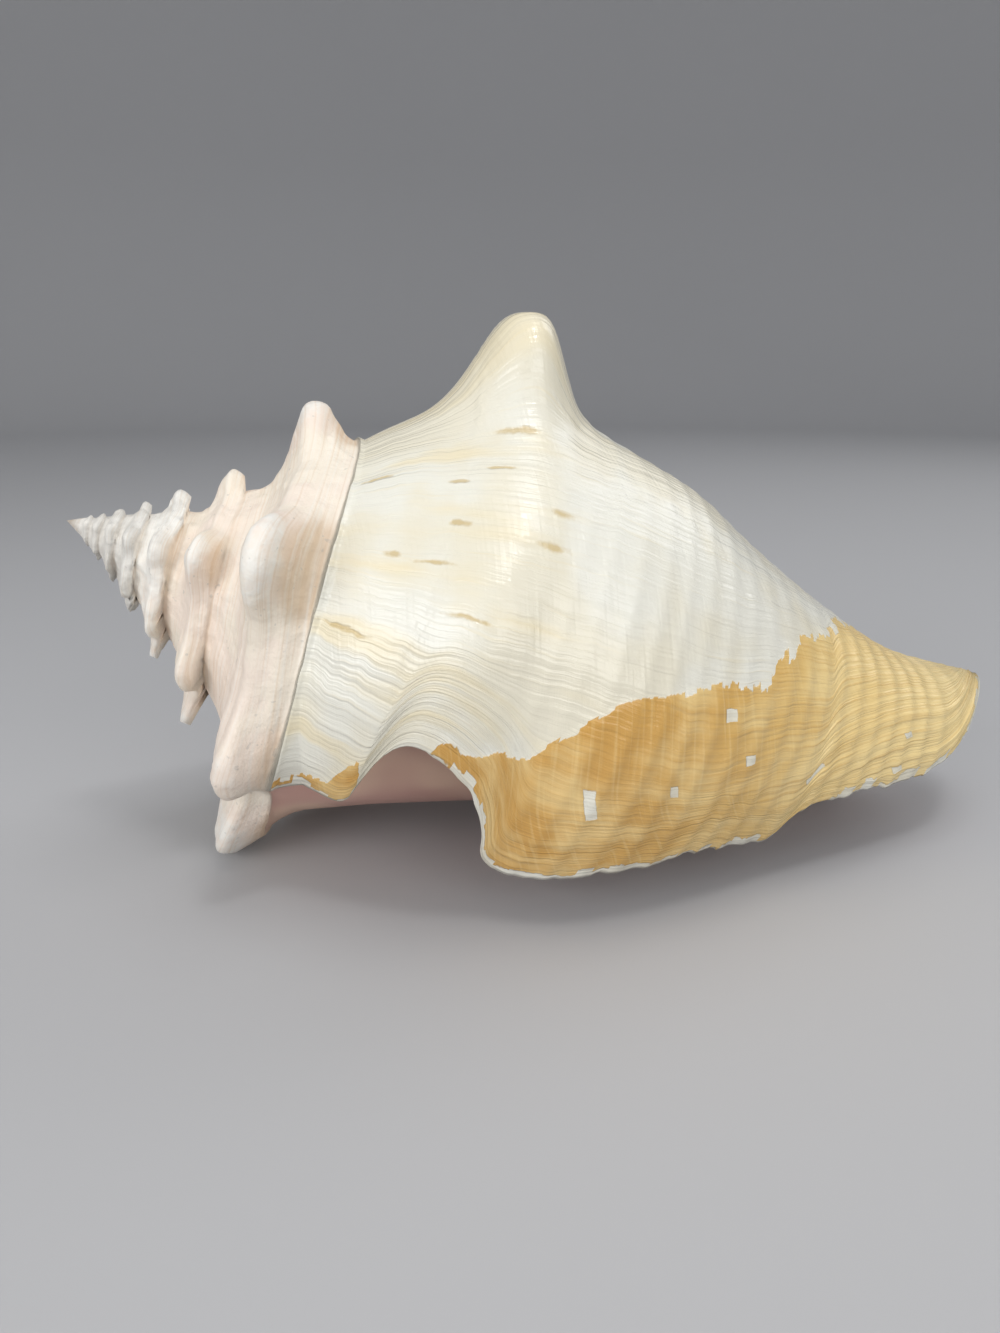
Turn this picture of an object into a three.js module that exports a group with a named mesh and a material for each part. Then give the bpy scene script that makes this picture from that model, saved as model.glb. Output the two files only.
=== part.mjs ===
// Queen conch shell, lying on its aperture, in millimetres with +Z up.
// The spire points to -X, the siphonal end to +X, and the outer lip hangs on the -Y side.
//
// One outline is swept round the coiling axis. A place on the shell is (turn, band): turn
// counts whole turns of growth and is 0 over the top of the last whorl, and band runs along
// the outline from the suture (0) over the knobbed shoulder (2) to the siphonal end (8).
// The solid core runs from the apex to CORE_END. From there the last whorl goes on as a thin
// wall round the open hollow, as far as the free edge of the lip.
import * as THREE from "three";

// ---- Driving dimensions -------------------------------------------------------------

// Outline of the last whorls: at each turn, [distance from the apex along the axis, radius]
// of the suture, ramp, shoulder, flank, upper body, middle, lower body, canal and end.
const LAST_WHORLS = [
  [-1.0, [[38, 22], [44, 25], [51, 34], [61, 38], [76, 36], [100, 29], [140, 18], [180, 12], [215, 7]]],
  [-0.75, [[38.7, 24], [45, 30], [50.5, 39.5], [62, 42], [78, 41], [104, 33], [143, 20], [182, 13], [216, 8]]],
  [-0.5, [[43, 26], [52, 38], [64, 48], [77, 52], [97, 46.5], [124, 39], [158, 32], [188, 27], [218, 12]]],
  [-0.25, [[50, 31], [62, 42], [79, 52], [94, 54], [112, 50], [137, 42], [170, 32], [205, 23], [236, 12]]],
  [0.0, [[60, 38], [73, 48], [94, 58.5], [110, 59], [126, 57.5], [147, 52], [181, 35.5], [210, 22.5], [240, 17]]],
  [0.2, [[60, 41], [71, 49.5], [91, 60], [107, 62.5], [126, 63], [150, 57.5], [184, 43], [214, 31], [240, 20]]],
  [0.35, [[62, 45], [72, 50], [88, 55], [104, 58], [124, 63.5], [150, 57], [184, 43], [214, 32], [240, 22]]],
  [0.5, [[64, 46], [75, 51], [90, 55], [106, 58], [126, 63], [151, 57], [185, 43], [215, 32], [240, 22]]],
];
const LENGTH_PER_TURN = 0.7; // each earlier whorl is this much shorter along the axis
const RADIUS_PER_TURN = 0.68; // and this much narrower,
const SPIRE_NARROWING = 0.86; // once the spire itself has narrowed by this

// Shoulder knobs: the turn where each stands, and its height above the shoulder.
const KNOBS = [
  [-1.01, 13],
  [-0.81, 14],
  [-0.645, 13],
  [-0.527, 19.8],
  [-0.42, 25.6],
  [-0.2, 18],
  [0.01, 22.5],
  [0.2, 3.5],
];
const REPEATING_KNOBS = 6; // the first ones come round again, smaller, on each earlier whorl
const KNOB_SHRINK = 0.5;
const KNOB_SPREAD = 1.15; // and broader along the turn
const KNOB_LEAN = THREE.MathUtils.degToRad(15); // towards the apex
const KNOB_TURN_WIDTH = 0.041;
const KNOB_BAND_WIDTH = 0.62;
const KNOB_BLUNTNESS = 1.8; // over 1 rounds the tips and steepens the sides
const KNOB_FALL = 1.2;
const KNOB_INSIDE = 0.4; // the hollow follows the knobs by this much of their height

// The free edge of the lip: [band, degrees round the axis from the top].
const LIP_EDGE = [
  [0, 136.8],
  [0.6, 135.5],
  [1.1, 134],
  [1.35, 132.5],
  [1.48, 128],
  [1.54, 118],
  [1.62, 109],
  [1.75, 103],
  [1.95, 101],
  [2.3, 102],
  [2.6, 104.5],
  [2.85, 107.5],
  [3.04, 112],
  [3.2, 117.5],
  [3.35, 124],
  [3.5, 126.5],
  [3.7, 125],
  [4.1, 121],
  [4.9, 115.5],
  [5.2, 111.5],
  [5.6, 113],
  [5.86, 114],
  [5.94, 104],
  [6.3, 100],
  [6.7, 97],
  [7.2, 93],
  [7.4, 86.5],
  [7.6, 73],
  [7.84, 45],
  [8, 15],
];

const CORE_END = -0.22; // the turn where the solid core stops and the open hollow starts
const LIP_TURNS = 0.6; // the lip's last hold on the whorl before it is this far on
const SPIRE_TURNS = 6;
const WALL_THICKNESS = 3.2; // where the wall starts
const LIP_THICKNESS = 2.2; // at the free edge
const HOLLOW_GAP = 0.4; // the wall's inside stays this far from the core
const LEAST_THICKNESS = 1; // of the wall where it lies against the core
const CANAL_RISE = 16; // the siphonal end bends up by this
const CANAL_BEND_START = 150; // from this far along the axis
const CANAL_BEND_POWER = 1.5; // over 1 starts the bend gently
const SHELL_LENGTH = 240; // along the axis, from the apex to the siphonal end
const CORE_TIP = 224; // where the core ends, inside the canal
const SPIRE_SAG = 3; // the axis of the spire sags by this, most at half of SPIRE_SAG_END
const SPIRE_SAG_END = 70;
const AXIS_DIP = THREE.MathUtils.degToRad(19.3); // the axis dips to the siphonal end
const REST_ROLL = THREE.MathUtils.degToRad(0.7); // and the shell leans over this far on its knobs

// Mesh steps
const STEPS_PER_TURN = 40;
const COVERED_STEPS = 8; // from a suture to the next one
const OPEN_STEPS = [0.3, 0.7, 1.1, 1.5, 1.9, 2.3, 2.8, 3.3, 3.8, 4.3, 4.8, 5.2, 5.6]; // beyond it
const SLOPE_STEP = 0.02; // in bands, to find which way the outline faces
const BAND_TOLERANCE = 1e-4;

const X_AXIS = new THREE.Vector3(1, 0, 0);
const FULL_CIRCLE = 360;

// ---- Curves --------------------------------------------------------------------------

// The value at x of a smooth curve through the knots [[x, y], ...], in order of x.
function smoothCurve(knots, x) {
  let i = 0;
  while (i < knots.length - 2 && x > knots[i + 1][0]) i += 1;
  const [x0, y0] = knots[i];
  const [x1, y1] = knots[i + 1];
  const width = x1 - x0;
  const slope = (y1 - y0) / width;
  const before = i > 0 ? (y1 - knots[i - 1][1]) / (x1 - knots[i - 1][0]) : slope;
  const after = i < knots.length - 2 ? (knots[i + 2][1] - y0) / (knots[i + 2][0] - x0) : slope;
  const t = THREE.MathUtils.clamp((x - x0) / width, 0, 1);
  const rise = (y1 - y0) * t * t * (3 - 2 * t);
  return rise + y0 + width * t * (1 - t) * (before * (1 - t) - after * t);
}

// The outlines of every whorl, the earlier ones as smaller copies of the last.
function allOutlines() {
  const earlier = [];
  for (let back = SPIRE_TURNS + 2; back >= 1; back -= 1) {
    for (const [turn, outline] of LAST_WHORLS.filter(([t]) => t < 0)) {
      const small = outline.map(([along, radius]) => [
        along * LENGTH_PER_TURN ** back,
        radius * SPIRE_NARROWING * RADIUS_PER_TURN ** back,
      ]);
      earlier.push([turn - back, small]);
    }
  }
  return [...earlier, ...LAST_WHORLS];
}

const OUTLINES = allOutlines();
const BANDS = LAST_WHORLS[0][1].map((_, band) => band);
const END_BAND = BANDS.length - 1;
const ALONG_KNOTS = BANDS.map((band) => OUTLINES.map(([turn, outline]) => [turn, outline[band][0]]));
const RADIUS_KNOTS = BANDS.map((band) => OUTLINES.map(([turn, outline]) => [turn, outline[band][1]]));

// The turn, height and spread of every knob; those of earlier whorls are lower and broader.
function allKnobs() {
  const knobs = KNOBS.map(([turn, height]) => [turn, height, 1]);
  for (let back = 1; back <= SPIRE_TURNS; back += 1) {
    for (const [turn, height] of KNOBS.slice(0, REPEATING_KNOBS)) {
      knobs.push([turn - back, height * KNOB_SHRINK ** back, KNOB_SPREAD ** back]);
    }
  }
  return knobs;
}

const ALL_KNOBS = allKnobs();

// How far the knobs push the surface out at a place on the shell.
function knobHeight(turn, band) {
  let total = 0;
  for (const [knobTurn, height, spread] of ALL_KNOBS) {
    const turnsAway = (turn - knobTurn) / (KNOB_TURN_WIDTH * spread);
    const bandsAway = (band - 2) / KNOB_BAND_WIDTH;
    const away = turnsAway ** 2 + bandsAway ** 2;
    total += height / (1 + away ** KNOB_BLUNTNESS) ** KNOB_FALL;
  }
  return total;
}

// [along, radius] of the swept outline at a place, before knobs.
function outlineAt(turn, band) {
  const knotsOf = (table) => table.map((knots, i) => [i, smoothCurve(knots, turn)]);
  return [smoothCurve(knotsOf(ALONG_KNOTS), band), smoothCurve(knotsOf(RADIUS_KNOTS), band)];
}

// [along, radius] of the surface, with a share of the knobs.
function surfaceAt(turn, band, knobShare = 1) {
  const [along, radius] = outlineAt(turn, band);
  const knob = knobShare * knobHeight(turn, band);
  return [along - knob * Math.sin(KNOB_LEAN), radius + knob * Math.cos(KNOB_LEAN)];
}

// The band where the surface of a turn is at a distance from the apex.
function bandAtAlong(turn, along) {
  let low = 0;
  let high = END_BAND;
  while (high - low > BAND_TOLERANCE) {
    const middle = (low + high) / 2;
    if (outlineAt(turn, middle)[0] < along) low = middle;
    else high = middle;
  }
  return low;
}

// The band of the whorl at this turn where the next whorl's suture runs.
function sutureBand(turn) {
  const lastTurn = Math.min(turn, CORE_END + LIP_TURNS - 1);
  return bandAtAlong(lastTurn, outlineAt(lastTurn + 1, 0)[0]);
}

// How far the middle of the coil stands above its straight axis.
function axisRise(along) {
  const bent = Math.max(0, along - CANAL_BEND_START) / (SHELL_LENGTH - CANAL_BEND_START);
  const sagging = Math.sin((Math.PI * Math.min(along, SPIRE_SAG_END)) / SPIRE_SAG_END);
  return CANAL_RISE * bent ** CANAL_BEND_POWER - SPIRE_SAG * sagging ** 2;
}

// The turn where the lip's free edge crosses a band.
function lipTurn(band) {
  return smoothCurve(LIP_EDGE, band) / FULL_CIRCLE;
}

// A point in space from its distance along the axis, its radius and its turn.
function place([along, radius], turn) {
  const angle = 2 * Math.PI * turn;
  const up = radius * Math.cos(angle) + axisRise(along);
  const point = new THREE.Vector3(
    along * Math.cos(AXIS_DIP) + up * Math.sin(AXIS_DIP),
    -radius * Math.sin(angle),
    -along * Math.sin(AXIS_DIP) + up * Math.cos(AXIS_DIP),
  );
  return point.applyAxisAngle(X_AXIS, REST_ROLL);
}

// The radius of the core under a place on the last whorl's wall.
function coreRadius(turn, along) {
  return surfaceAt(turn - 1, bandAtAlong(turn - 1, along))[1];
}

// [along, radius] of the outside of the last whorl's wall.
function outsideAt(turn, band) {
  const [along, radius] = surfaceAt(turn, band);
  return [along, Math.max(radius, coreRadius(turn, along) + HOLLOW_GAP + LEAST_THICKNESS)];
}

// The inside of the last whorl's wall, behind a place on its outside.
function insideAt(turn, band, thickness) {
  const before = Math.max(0, band - SLOPE_STEP);
  const after = Math.min(END_BAND, band + SLOPE_STEP);
  const [along, radius] = surfaceAt(turn, band, KNOB_INSIDE);
  const [alongBefore, radiusBefore] = surfaceAt(turn, before, KNOB_INSIDE);
  const [alongAfter, radiusAfter] = surfaceAt(turn, after, KNOB_INSIDE);
  const run = Math.hypot(alongAfter - alongBefore, radiusAfter - radiusBefore);
  const inAlong = along + (thickness * (radiusAfter - radiusBefore)) / run;
  const inRadius = radius - (thickness * (alongAfter - alongBefore)) / run;
  return [inAlong, Math.max(inRadius, coreRadius(turn, inAlong) + HOLLOW_GAP)];
}

// ---- The mesh ------------------------------------------------------------------------

const points = [];
const faces = [];

function addPoint(point) {
  points.push(point);
  return points.length - 1;
}

// Joins two rows of points with triangles.
function joinRows(rowA, rowB, flip = false) {
  for (let j = 0; j + 1 < rowA.length; j += 1) {
    addFace(rowA[j], rowB[j], rowB[j + 1], flip);
    addFace(rowA[j], rowB[j + 1], rowA[j + 1], flip);
  }
}

// Adds a triangle, unless two of its corners are the same point.
function addFace(a, b, c, flip = false) {
  if (a === b || b === c || c === a) return;
  if (flip) faces.push(a, c, b);
  else faces.push(a, b, c);
}

// Fills the flat gap between two chains that start at the same point, stepping along each
// in proportion.
function fillBetween(chainA, chainB) {
  let i = 0;
  let j = 0;
  while (i + 1 < chainA.length || j + 1 < chainB.length) {
    const nextA = (i + 1) / (chainA.length - 1);
    const nextB = (j + 1) / (chainB.length - 1);
    if (nextA <= nextB) {
      addFace(chainA[i], chainA[i + 1], chainB[j]);
      i += 1;
    } else {
      addFace(chainB[j], chainA[i], chainB[j + 1]);
      j += 1;
    }
  }
}

const firstTurn = CORE_END - 1 - SPIRE_TURNS;
const ringCount = (SPIRE_TURNS + 1) * STEPS_PER_TURN;
const openFrom = SPIRE_TURNS * STEPS_PER_TURN; // from this ring the outline is whole
const lipRings = Math.round(LIP_TURNS * STEPS_PER_TURN);
const turnOfRing = (ring) => firstTurn + ring / STEPS_PER_TURN;

// The bands of an open ring: up to the suture line, then on to the siphonal end.
function openBands(turn) {
  const suture = sutureBand(turn);
  const covered = [];
  for (let j = 0; j <= COVERED_STEPS; j += 1) covered.push((suture * j) / COVERED_STEPS);
  const last = OPEN_STEPS[OPEN_STEPS.length - 1];
  const open = OPEN_STEPS.map((step) => suture + ((END_BAND - suture) * step) / last);
  return [...covered, ...open];
}

// Rings of the core, from the apex. Each starts on the suture line of the whorl before it, and
// all but the last turn's end on the suture line of the next whorl.
const apex = addPoint(place([0, 0], 0));
const rings = [];
for (let ring = 0; ring <= ringCount; ring += 1) {
  const turn = turnOfRing(ring);
  const bands = ring < openFrom ? openBands(turn).slice(0, COVERED_STEPS + 1) : openBands(turn);
  const row = bands.map((band, j) => {
    if (j === 0 && ring < STEPS_PER_TURN) return apex;
    if (j === 0) return rings[ring - STEPS_PER_TURN][COVERED_STEPS];
    return addPoint(place(surfaceAt(turn, band), turn));
  });
  rings.push(row);
}
const coreTip = addPoint(place([CORE_TIP, 0], 0));

// The first ring, closed against the suture that starts there.
const firstRow = rings[0];
for (let j = 1; j + 1 < firstRow.length; j += 1) addFace(apex, firstRow[j], firstRow[j + 1]);

for (let ring = 0; ring < ringCount; ring += 1) {
  const rowA = rings[ring];
  const rowB = rings[ring + 1];
  joinRows(rowA.slice(0, COVERED_STEPS + 1), rowB.slice(0, COVERED_STEPS + 1));
  if (ring < openFrom) continue;
  const underWall = ring < openFrom + lipRings;
  const from = COVERED_STEPS + (underWall ? 1 : 0);
  joinRows(rowA.slice(from), rowB.slice(from));
  addFace(rowA[rowA.length - 1], rowB[rowB.length - 1], coreTip);
}

// The wall of the last whorl, outside and inside, from the core's end to the lip's edge.
const wallBands = openBands(CORE_END);
const outside = [];
const inside = [];
for (let i = 0; i <= lipRings; i += 1) {
  const share = i / lipRings;
  const coreRow = rings[openFrom + i];
  const turns = wallBands.map((band) => CORE_END + share * (lipTurn(band) - CORE_END));
  const thickness = WALL_THICKNESS + share * (LIP_THICKNESS - WALL_THICKNESS);
  const outsideRow = wallBands.map((band, j) => {
    if (j === 0) return coreRow[COVERED_STEPS];
    return addPoint(place(outsideAt(turns[j], band), turns[j]));
  });
  outside.push(i === 0 ? rings[ringCount] : outsideRow);
  inside.push(
    wallBands.map((band, j) => {
      if (j === 0) return coreRow[COVERED_STEPS + 1];
      return addPoint(place(insideAt(turns[j], band, thickness), turns[j]));
    }),
  );
}
for (let i = 0; i < lipRings; i += 1) {
  joinRows(outside[i], outside[i + 1]);
  joinRows(inside[i], inside[i + 1], true);
}
const lastBand = wallBands.length - 1;
const columnOf = (rows, j) => rows.map((row) => row[j]);
joinRows(outside[lipRings], inside[lipRings]);
joinRows(columnOf(inside, lastBand), columnOf(outside, lastBand));

// The blind end of the hollow.
const hollowEnd = [...inside[0], outside[0][lastBand]];
fillBetween([...rings[openFrom].slice(COVERED_STEPS + 1), coreTip], hollowEnd);

// ---- The part: its origin is under the middle of the shell, on the surface it lies on ---

const coordinates = points.flatMap((point) => point.toArray());
const geometry = new THREE.BufferGeometry();
geometry.setAttribute("position", new THREE.Float32BufferAttribute(coordinates, 3));
geometry.setIndex(faces);
geometry.computeBoundingBox();
const { min, max } = geometry.boundingBox;
geometry.translate(-(min.x + max.x) / 2, -(min.y + max.y) / 2, -min.z);
geometry.computeVertexNormals();

const material = new THREE.MeshStandardMaterial({ color: 0xefe3cc, roughness: 0.35, metalness: 0 });
const shell = new THREE.Mesh(geometry, material);
shell.name = "conch_shell";
const part = new THREE.Group();
part.add(shell);

export default part;
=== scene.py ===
"""The looks of a queen conch shell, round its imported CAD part.

The shell's own sizes are in millimetres. It is made in the same way as the CAD solid, from one
outline swept round the coiling axis, and finer: with cords, growth ridges and a ragged lip.
A place on the shell is (turn, band). Turn counts whole turns of growth and is 0 over the top
of the last whorl. Band runs along the outline from the suture (0) over the knobbed shoulder
(2) to the siphonal end (8).
"""

import math

import bpy
import numpy as np
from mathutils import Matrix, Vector


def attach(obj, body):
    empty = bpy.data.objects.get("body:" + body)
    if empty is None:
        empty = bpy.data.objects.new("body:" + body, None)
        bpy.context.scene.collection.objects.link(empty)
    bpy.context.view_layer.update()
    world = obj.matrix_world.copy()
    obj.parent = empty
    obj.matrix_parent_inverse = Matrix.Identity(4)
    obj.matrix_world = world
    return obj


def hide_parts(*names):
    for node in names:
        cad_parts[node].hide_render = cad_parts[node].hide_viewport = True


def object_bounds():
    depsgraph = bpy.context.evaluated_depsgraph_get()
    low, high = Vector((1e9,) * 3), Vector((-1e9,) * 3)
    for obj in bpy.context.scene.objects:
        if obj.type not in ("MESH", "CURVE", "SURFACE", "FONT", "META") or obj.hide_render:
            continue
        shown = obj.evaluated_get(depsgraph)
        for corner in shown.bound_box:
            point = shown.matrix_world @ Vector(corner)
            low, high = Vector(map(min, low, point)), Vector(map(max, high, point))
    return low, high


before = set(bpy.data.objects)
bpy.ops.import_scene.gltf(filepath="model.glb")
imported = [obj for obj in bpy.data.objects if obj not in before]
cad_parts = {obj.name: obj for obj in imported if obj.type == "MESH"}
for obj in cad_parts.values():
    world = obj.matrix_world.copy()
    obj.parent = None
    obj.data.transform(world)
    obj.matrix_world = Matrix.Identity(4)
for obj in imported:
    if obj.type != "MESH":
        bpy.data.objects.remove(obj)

cad_low, cad_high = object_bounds()

MM = 0.001

# ---- The shell's form, as in the CAD --------------------------------------------------

# Outline of the last whorls: at each turn, [distance from the apex along the axis, radius]
# of the suture, ramp, shoulder, flank, upper body, middle, lower body, canal and end.
LAST_WHORLS = [
    [-1.0, [[38, 22], [44, 25], [51, 34], [61, 38], [76, 36],
        [100, 29], [140, 18], [180, 12], [215, 7]]],
    [-0.75, [[38.7, 24], [45, 30], [50.5, 39.5], [62, 42], [78, 41],
        [104, 33], [143, 20], [182, 13], [216, 8]]],
    [-0.5, [[43, 26], [52, 38], [64, 48], [77, 52], [97, 46.5],
        [124, 39], [158, 32], [188, 27], [218, 12]]],
    [-0.25, [[50, 31], [62, 42], [79, 52], [94, 54], [112, 50],
        [137, 42], [170, 32], [205, 23], [236, 12]]],
    [0.0, [[60, 38], [73, 48], [94, 58.5], [110, 59], [126, 57.5],
        [147, 52], [181, 35.5], [210, 22.5], [240, 17]]],
    [0.2, [[60, 41], [71, 49.5], [91, 60], [107, 62.5], [126, 63],
        [150, 57.5], [184, 43], [214, 31], [240, 20]]],
    [0.35, [[62, 45], [72, 50], [88, 55], [104, 58], [124, 63.5],
        [150, 57], [184, 43], [214, 32], [240, 22]]],
    [0.5, [[64, 46], [75, 51], [90, 55], [106, 58], [126, 63],
        [151, 57], [185, 43], [215, 32], [240, 22]]],
]
LENGTH_PER_TURN = 0.7
RADIUS_PER_TURN = 0.68
SPIRE_NARROWING = 0.86

# Shoulder knobs: the turn where each stands, and its height above the shoulder.
KNOBS = [
    [-1.01, 10.5],
    [-0.81, 14],
    [-0.645, 10.5],
    [-0.527, 19.8],
    [-0.42, 25.6],
    [-0.2, 18],
    [0.01, 22.5],
    [0.2, 2.5],
]
REPEATING_KNOBS = 6
KNOB_SHRINK = 0.5
KNOB_LEAN = math.radians(15)
KNOB_TURN_WIDTH = 0.041
KNOB_BAND_WIDTH = 0.62
KNOB_BLUNTNESS = 1.8
KNOB_FALL = 1.2
KNOB_INSIDE = 0.4

# The free edge of the lip: [band, degrees round the axis from the top].
LIP_EDGE = [
    [0, 136.8],
    [0.6, 135.5],
    [1.1, 134],
    [1.35, 132.5],
    [1.48, 128],
    [1.54, 118],
    [1.62, 109],
    [1.75, 103],
    [1.95, 101],
    [2.3, 102],
    [2.6, 104.5],
    [2.85, 107.5],
    [3.04, 112],
    [3.2, 117.5],
    [3.35, 124],
    [3.5, 126.5],
    [3.7, 125],
    [4.1, 121],
    [4.9, 115.5],
    [5.2, 111.5],
    [5.6, 113],
    [5.86, 114],
    [5.94, 104],
    [6.3, 100],
    [6.7, 97],
    [7.2, 93],
    [7.4, 86.5],
    [7.6, 73],
    [7.84, 45],
    [8, 15],
]
CORE_END = -0.22
LIP_TURNS = 0.6
SPIRE_TURNS = 6
WALL_THICKNESS = 3.2
LIP_THICKNESS = 1.5
HOLLOW_GAP = 0.4
APEX_WEAR = 1.2
LEAST_THICKNESS = 0.5
CANAL_RISE = 16
CANAL_BEND_START = 150
CANAL_BEND_POWER = 1.5
SHELL_LENGTH = 240
CORE_TIP = 224
SPIRE_SAG = 3
SPIRE_SAG_END = 70
AXIS_DIP = math.radians(19.3)
REST_ROLL = math.radians(0.7)

FULL_CIRCLE = 360
BANDS = np.arange(len(LAST_WHORLS[0][1]))
END_BAND = BANDS[-1]
SLOPE_STEP = 0.02
HALVINGS = 16


def smooth_curve(knots_x, knots_y, x):
    """The value at x of a smooth curve through the knots.

    Knots_y has one column, or one for each x.
    """
    knots_x = np.asarray(knots_x, float)
    knots_y = np.asarray(knots_y, float)
    last = len(knots_x) - 2
    i = np.clip(np.searchsorted(knots_x, x, side="left") - 1, 0, last)
    low = np.maximum(i - 1, 0)
    high = np.minimum(i + 2, last + 1)

    def y(k):
        return knots_y[k] if knots_y.ndim == 1 else knots_y[k, np.arange(knots_y.shape[1])]

    width = knots_x[i + 1] - knots_x[i]
    step = y(i + 1) - y(i)
    slope = step / width
    before = np.where(i > 0, (y(i + 1) - y(low)) / (knots_x[i + 1] - knots_x[low]), slope)
    after = np.where(i < last, (y(high) - y(i)) / (knots_x[high] - knots_x[i]), slope)
    t = np.clip((x - knots_x[i]) / width, 0, 1)
    bend = width * t * (1 - t) * (before * (1 - t) - after * t)
    return step * t * t * (3 - 2 * t) + y(i) + bend


def all_outlines():
    """The outlines of every whorl, the earlier ones as smaller copies of the last."""
    shrink = np.array([LENGTH_PER_TURN, RADIUS_PER_TURN])
    narrowing = np.array([1, SPIRE_NARROWING])
    turns = []
    outlines = []
    for back in range(SPIRE_TURNS + 2, 0, -1):
        for turn, outline in LAST_WHORLS:
            if turn < 0:
                turns.append(turn - back)
                outlines.append(np.array(outline) * narrowing * shrink**back)
    for turn, outline in LAST_WHORLS:
        turns.append(turn)
        outlines.append(np.array(outline))
    return np.array(turns), np.array(outlines)


OUTLINE_TURNS, OUTLINES = all_outlines()


def all_knobs():
    """The turn and height of every knob, with the earlier whorls' smaller ones."""
    knobs = list(KNOBS)
    for back in range(1, SPIRE_TURNS + 1):
        for turn, height in KNOBS[:REPEATING_KNOBS]:
            knobs.append([turn - back, height * KNOB_SHRINK**back])
    return knobs


ALL_KNOBS = all_knobs()


def knob_height(turn, band):
    """How far the knobs push the surface out."""
    total = np.zeros(len(turn))
    for knob_turn, height in ALL_KNOBS:
        turns_away = (turn - knob_turn) / KNOB_TURN_WIDTH
        bands_away = (band - 2) / KNOB_BAND_WIDTH
        away = turns_away**2 + bands_away**2
        total += height / (1 + away**KNOB_BLUNTNESS) ** KNOB_FALL
    return total


def outline_at(turn, band):
    """The distance along the axis and the radius of the swept outline, before knobs."""
    found = []
    for part in (0, 1):
        at_bands = [smooth_curve(OUTLINE_TURNS, OUTLINES[:, b, part], turn) for b in BANDS]
        found.append(smooth_curve(BANDS, np.array(at_bands), band))
    return found


def surface_at(turn, band, knob_share=1.0):
    along, radius = outline_at(turn, band)
    knob = knob_share * knob_height(turn, band)
    return along - knob * math.sin(KNOB_LEAN), radius + knob * math.cos(KNOB_LEAN)


def band_at_along(turn, along):
    """The band where the outline of a turn is at a distance from the apex."""
    low = np.zeros(len(turn))
    high = np.full(len(turn), float(END_BAND))
    for _ in range(HALVINGS):
        middle = (low + high) / 2
        short = outline_at(turn, middle)[0] < along
        low = np.where(short, middle, low)
        high = np.where(short, high, middle)
    return low


def suture_band(turn):
    """The band of the whorl at this turn where the next whorl's suture runs."""
    last_turn = np.minimum(turn, CORE_END + LIP_TURNS - 1)
    return band_at_along(last_turn, outline_at(last_turn + 1, np.zeros(len(turn)))[0])


def inside_at(turn, band, thickness):
    """The inside of the last whorl's wall, behind a place on its outside."""
    along, radius = surface_at(turn, band, KNOB_INSIDE)
    before = surface_at(turn, np.maximum(band - SLOPE_STEP, 0), KNOB_INSIDE)
    after = surface_at(turn, np.minimum(band + SLOPE_STEP, END_BAND), KNOB_INSIDE)
    run = np.hypot(after[0] - before[0], after[1] - before[1])
    in_along = along + thickness * (after[1] - before[1]) / run
    in_radius = radius - thickness * (after[0] - before[0]) / run
    return in_along, np.maximum(in_radius, core_radius(turn, in_along) + HOLLOW_GAP)


def core_radius(turn, along):
    """The radius of the core under a place on the last whorl's wall."""
    return surface_at(turn - 1, band_at_along(turn - 1, along))[1]


def lip_turn(band):
    edge = np.array(LIP_EDGE, float)
    return smooth_curve(edge[:, 0], edge[:, 1], band) / FULL_CIRCLE


def wall_turn(share, band):
    """The turn on the last whorl's wall, a share of the way from the core's end to the lip's edge."""
    return CORE_END + share * (lip_turn(band) - CORE_END)


def axis_rise(along):
    """How far the middle of the coil stands above its straight axis."""
    bent = np.maximum(0, along - CANAL_BEND_START) / (SHELL_LENGTH - CANAL_BEND_START)
    sagging = np.sin(math.pi * np.minimum(along, SPIRE_SAG_END) / SPIRE_SAG_END)
    return CANAL_RISE * bent**CANAL_BEND_POWER - SPIRE_SAG * sagging**2


def place(along, radius, turn):
    """Points in space from distances along the axis, radii and turns."""
    angle = 2 * math.pi * turn
    up = radius * np.cos(angle) + axis_rise(along)
    x = along * math.cos(AXIS_DIP) + up * math.sin(AXIS_DIP)
    y = -radius * np.sin(angle)
    z = -along * math.sin(AXIS_DIP) + up * math.cos(AXIS_DIP)
    rolled_y = y * math.cos(REST_ROLL) - z * math.sin(REST_ROLL)
    rolled_z = y * math.sin(REST_ROLL) + z * math.cos(REST_ROLL)
    return np.stack([x, rolled_y, rolled_z], axis=1)

# ---- The mesh -------------------------------------------------------------------------

# Steps round each whorl and columns across it, from the apex to the last whorl of the core
WHORL_STEPS = [48, 64, 96, 128, 192, 240, 320]
WHORL_COLUMNS = [6, 8, 12, 16, 24, 36, 46]
WALL_ROWS = 230  # from the core's end to the lip's edge
OPEN_COLUMNS = 157  # from the suture line to the siphonal end
COARSE = 4  # hidden stretches take every fourth row and column
EDGE_ROWS = 12  # at full fineness on the inside, behind the lip's edge

CLOSE = 1e-9  # places along two chains that count as level
NOWHERE = 99  # mm from the lip or the ochre, for points that have neither
OUTSIDE = 0
CORE = 1
INSIDE = 2
FIRST_TURN = CORE_END - 1 - SPIRE_TURNS


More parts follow.
